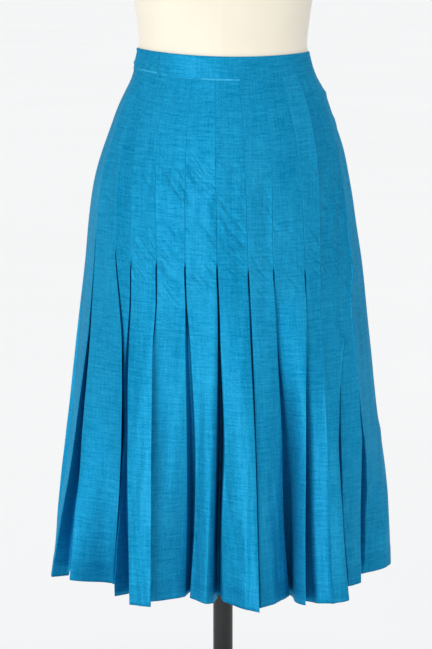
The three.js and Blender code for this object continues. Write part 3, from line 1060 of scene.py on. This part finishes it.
def mixed_colour(material, factor, a, b, blend="MIX"):
    """Two colours mixed by a factor; each of the three is a plain value or a node's output."""
    node = add_node(material, "ShaderNodeMix", data_type="RGBA", blend_type=blend)
    for key, value in (("Factor", factor), ("A", a), ("B", b)):
        feed(material, value, node.inputs[key])
    return node.outputs["Result"]


def bumped(material, height, strength, distance, normal=None):
    """The normal of a surface raised by a height, over another normal where one is given."""
    node = add_node(material, "ShaderNodeBump", {"Strength": strength, "Distance": distance})
    link(material, height, node.inputs["Height"])
    if normal is not None:
        link(material, normal, node.inputs["Normal"])
    return node.outputs[0]


def hem_painted_shade(material, colour, height, shade):
    """The colour, with painted shade where the turned-up hem shows through the cloth."""
    low, high = HEM_EDGE
    above = ramp_between(material, height, HEM_ALLOWANCE * MM + low, HEM_ALLOWANCE * MM + high)
    tint = mixed_colour(material, above, shade, (1, 1, 1, 1))
    return mixed_colour(material, 1.0, colour, tint, "MULTIPLY")


def painted_seam_highlight(material, colour, uv, along, height):
    """The colour, with a painted highlight on the ridge where the cloth is turned in under the waistband.
    """
    start = WAIST_HIGHLIGHT["height"] - WAIST_HIGHLIGHT["width"]
    low, high = WAIST_HIGHLIGHT["edge"]
    edge = ramp_between(material, height, start + low, start + high)
    noise = stretched_noise(material, uv, (34, 1, 1), detail=1, seed=8.3)
    broken = math_node(material, "MULTIPLY", ramp_between(material, noise, *WAIST_HIGHLIGHT["breaks"]),
                       math_node(material, "LESS_THAN", along, WAIST_HIGHLIGHT["reach"]))
    return mixed_colour(material, math_node(material, "MULTIPLY", edge, broken),
                        colour, WAIST_HIGHLIGHT["colour"])


def hip_crinkle(material, uv, height):
    """Fine slanting wrinkles where the worn cloth is pulled over the hips."""
    turned = add_node(material, "ShaderNodeMapping", {"Rotation": (0, 0, math.radians(CRINKLE["slant"]))})
    link(material, uv, turned.inputs["Vector"])
    folds = stretched_noise(material, turned.outputs[0], CRINKLE["scale"], detail=0.4, seed=6.1,
                            distortion=CRINKLE["distortion"])
    cloud = stretched_noise(material, uv, (14, 16, 1), detail=1, seed=2.9)
    patches = ramp_between(material, cloud, *CRINKLE["patches"])
    low, full, fading, high = CRINKLE["heights"]
    reach = math_node(material, "MULTIPLY", ramp_between(material, height, low, full),
                      ramp_between(material, height, high, fading))
    mask = math_node(material, "MULTIPLY", patches, reach)
    return math_node(material, "MULTIPLY", math_node(material, "SUBTRACT", folds, 0.5), mask)


def silk_material(name, worn):
    """Slubbed plain-weave silk: uneven threads both ways, with a soft sheen.

    When worn is set, the silk also has painted shade at the skirt's hem, a painted highlight along the
    waist line, and hip wrinkles.
    """
    material, shader = node_material(name, SILK_FINISH)
    uv = add_node(material, "ShaderNodeUVMap", uv_map="cloth").outputs[0]
    threads = weighted_sum(material, [
        (stretched_noise(material, uv, (row["along"], row["up"], 1), row["detail"], row["seed"]),
         row["share"]) for row in THREADS])
    cloud = stretched_noise(material, uv, (9, 5, 1), detail=2, seed=1.3)
    tone = weighted_sum(material, ((threads, 1 - CLOUD_SHARE), (cloud, CLOUD_SHARE)))
    colour = colour_ramp(material, tone, SILK_DARK, SILK_LIGHT, SILK_TONES)
    normal = bumped(material, threads, **WEAVE_BUMP)
    if worn:
        split = add_node(material, "ShaderNodeSeparateXYZ")
        link(material, uv, split.inputs[0])
        along, height = split.outputs["X"], split.outputs["Y"]
        # Painted shade where the turned-up hem shows through.
        colour = hem_painted_shade(material, colour, height, HEM_SHADE)
        # A painted highlight on the ridge just under the waistband.
        colour = painted_seam_highlight(material, colour, uv, along, height)
        crinkle = hip_crinkle(material, uv, height)
        normal = bumped(material, crinkle, strength=1.0, distance=CRINKLE["depth"], normal=normal)
    link(material, colour, shader.inputs["Base Color"])
    link(material, normal, shader.inputs["Normal"])
    link(material, normal, shader.inputs["Coat Normal"])
    return material


def cotton_material():
    """The form's cream jersey cover."""
    material, shader = node_material("cotton_cover", {"Roughness": 0.85, "Sheen Weight": 0.45})
    uv = add_node(material, "ShaderNodeUVMap", uv_map="cloth").outputs[0]
    ribs = stretched_noise(material, uv, (900, 900, 1), detail=2, seed=2.2)
    cloud = stretched_noise(material, uv, (8, 8, 1), detail=2, seed=4.4)
    tone = weighted_sum(material, ((ribs, 0.6), (cloud, 0.4)))
    colour = colour_ramp(material, tone, dark=(0.84, 0.77, 0.63), light=(0.92, 0.86, 0.72),
                         tones=(0.35, 0.65))
    link(material, colour, shader.inputs["Base Color"])
    normal = bumped(material, ribs, strength=0.15, distance=0.0004)
    link(material, normal, shader.inputs["Normal"])
    return material


def paint_material():
    """Satin dark grey paint with faint unevenness."""
    material, shader = node_material("grey_paint_satin", {"Roughness": 0.45, "Specular IOR Level": 0.4})
    place = add_node(material, "ShaderNodeTexCoord").outputs["Object"]
    speck = stretched_noise(material, place, (240, 240, 240), detail=3, seed=5.5)
    colour = colour_ramp(material, speck, dark=(0.014, 0.014, 0.0143), light=(0.022, 0.022, 0.0223))
    link(material, colour, shader.inputs["Base Color"])
    normal = bumped(material, speck, strength=0.08, distance=0.0003)
    link(material, normal, shader.inputs["Normal"])
    return material


def floor_material():
    material, shader = node_material("pale_floor", {"Roughness": 0.9, "Specular IOR Level": 0.1})
    place = add_node(material, "ShaderNodeTexCoord").outputs["Object"]
    cloud = stretched_noise(material, place, (0.4, 0.4, 0.4), detail=2, seed=1.0)
    colour = colour_ramp(material, cloud, dark=(0.85, 0.85, 0.85), light=(0.885, 0.885, 0.885))
    link(material, colour, shader.inputs["Base Color"])
    return material


# ---------------------------------------------------------------- camera, light and floor

PICTURE = (432, 649)
CAMERA = {"x": -10, "distance": 4000, "height": 1160, "aim_height": 655, "focal_px": 2840}
LENS_SENSOR = 36.0
CAMERA_REACH = 400
FLOOR_HALF = 120.0
# Broad soft lights. The azimuth is 0 on the camera's side and positive to its right.
SUNS = {
    "key": {"azimuth": -28, "elevation": 4, "strength": 1.8, "spread": 24, "colour": (1.0, 0.99, 0.975)},
    "top": {"azimuth": 10, "elevation": 84, "strength": 1.62, "spread": 50, "colour": (1.0, 1.0, 1.0)},
}
STUDIO_AIR = {"Color": (0.97, 0.985, 1.0, 1), "Strength": 0.52}


def make_camera():
    data = bpy.data.cameras.new("camera")
    data.sensor_fit = "AUTO"
    data.sensor_width = LENS_SENSOR
    data.lens = CAMERA["focal_px"] * LENS_SENSOR / max(PICTURE)
    data.clip_end = CAMERA_REACH
    camera = bpy.data.objects.new("camera", data)
    bpy.context.scene.collection.objects.link(camera)
    camera.location = (CAMERA["x"] * MM, -CAMERA["distance"] * MM, CAMERA["height"] * MM)
    aim = Vector((CAMERA["x"] * MM, 0, CAMERA["aim_height"] * MM))
    camera.rotation_euler = (aim - camera.location).to_track_quat("-Z", "Y").to_euler()
    bpy.context.scene.camera = camera


def make_sun(name, azimuth, elevation, strength, spread, colour):
    data = bpy.data.lights.new(name, "SUN")
    data.energy = strength
    data.angle = math.radians(spread)
    data.color = colour
    sun = bpy.data.objects.new(name, data)
    bpy.context.scene.collection.objects.link(sun)
    turn, rise = math.radians(azimuth), math.radians(elevation)
    toward = Vector((math.sin(turn) * math.cos(rise), -math.cos(turn) * math.cos(rise), math.sin(rise)))
    sun.rotation_euler = toward.to_track_quat("Z", "Y").to_euler()


def make_light():
    for name, sun in SUNS.items():
        make_sun(name, **sun)
    world = bpy.data.worlds.new("studio")
    world.use_nodes = True
    background = world.node_tree.nodes["Background"]
    for key, value in STUDIO_AIR.items():
        background.inputs[key].default_value = value
    bpy.context.scene.world = world


def make_floor():
    reach = FLOOR_HALF / MM
    corners = np.array([[(x, y, 0) for x in (-reach, reach)] for y in (reach, -reach)])
    floor = grid_mesh("studio_floor", corners, None, floor_material())


# ---------------------------------------------------------------- the scene

bpy.context.scene.view_settings.view_transform = "Standard"
make_camera()
make_light()
make_floor()

silk = silk_material("slubbed_silk", worn=True)
band_silk = silk_material("slubbed_silk_band", worn=False)

front = skirt_panel("silk_skirt_front", "skirt_front", LEFT_SIDE_SEAM, RIGHT_SIDE_SEAM, silk)
back = skirt_panel("silk_skirt_back", "skirt_back", RIGHT_SIDE_SEAM, LEFT_SIDE_SEAM, silk)
band = waistband(band_silk)
form_torso(cotton_material())
form_stand(paint_material())
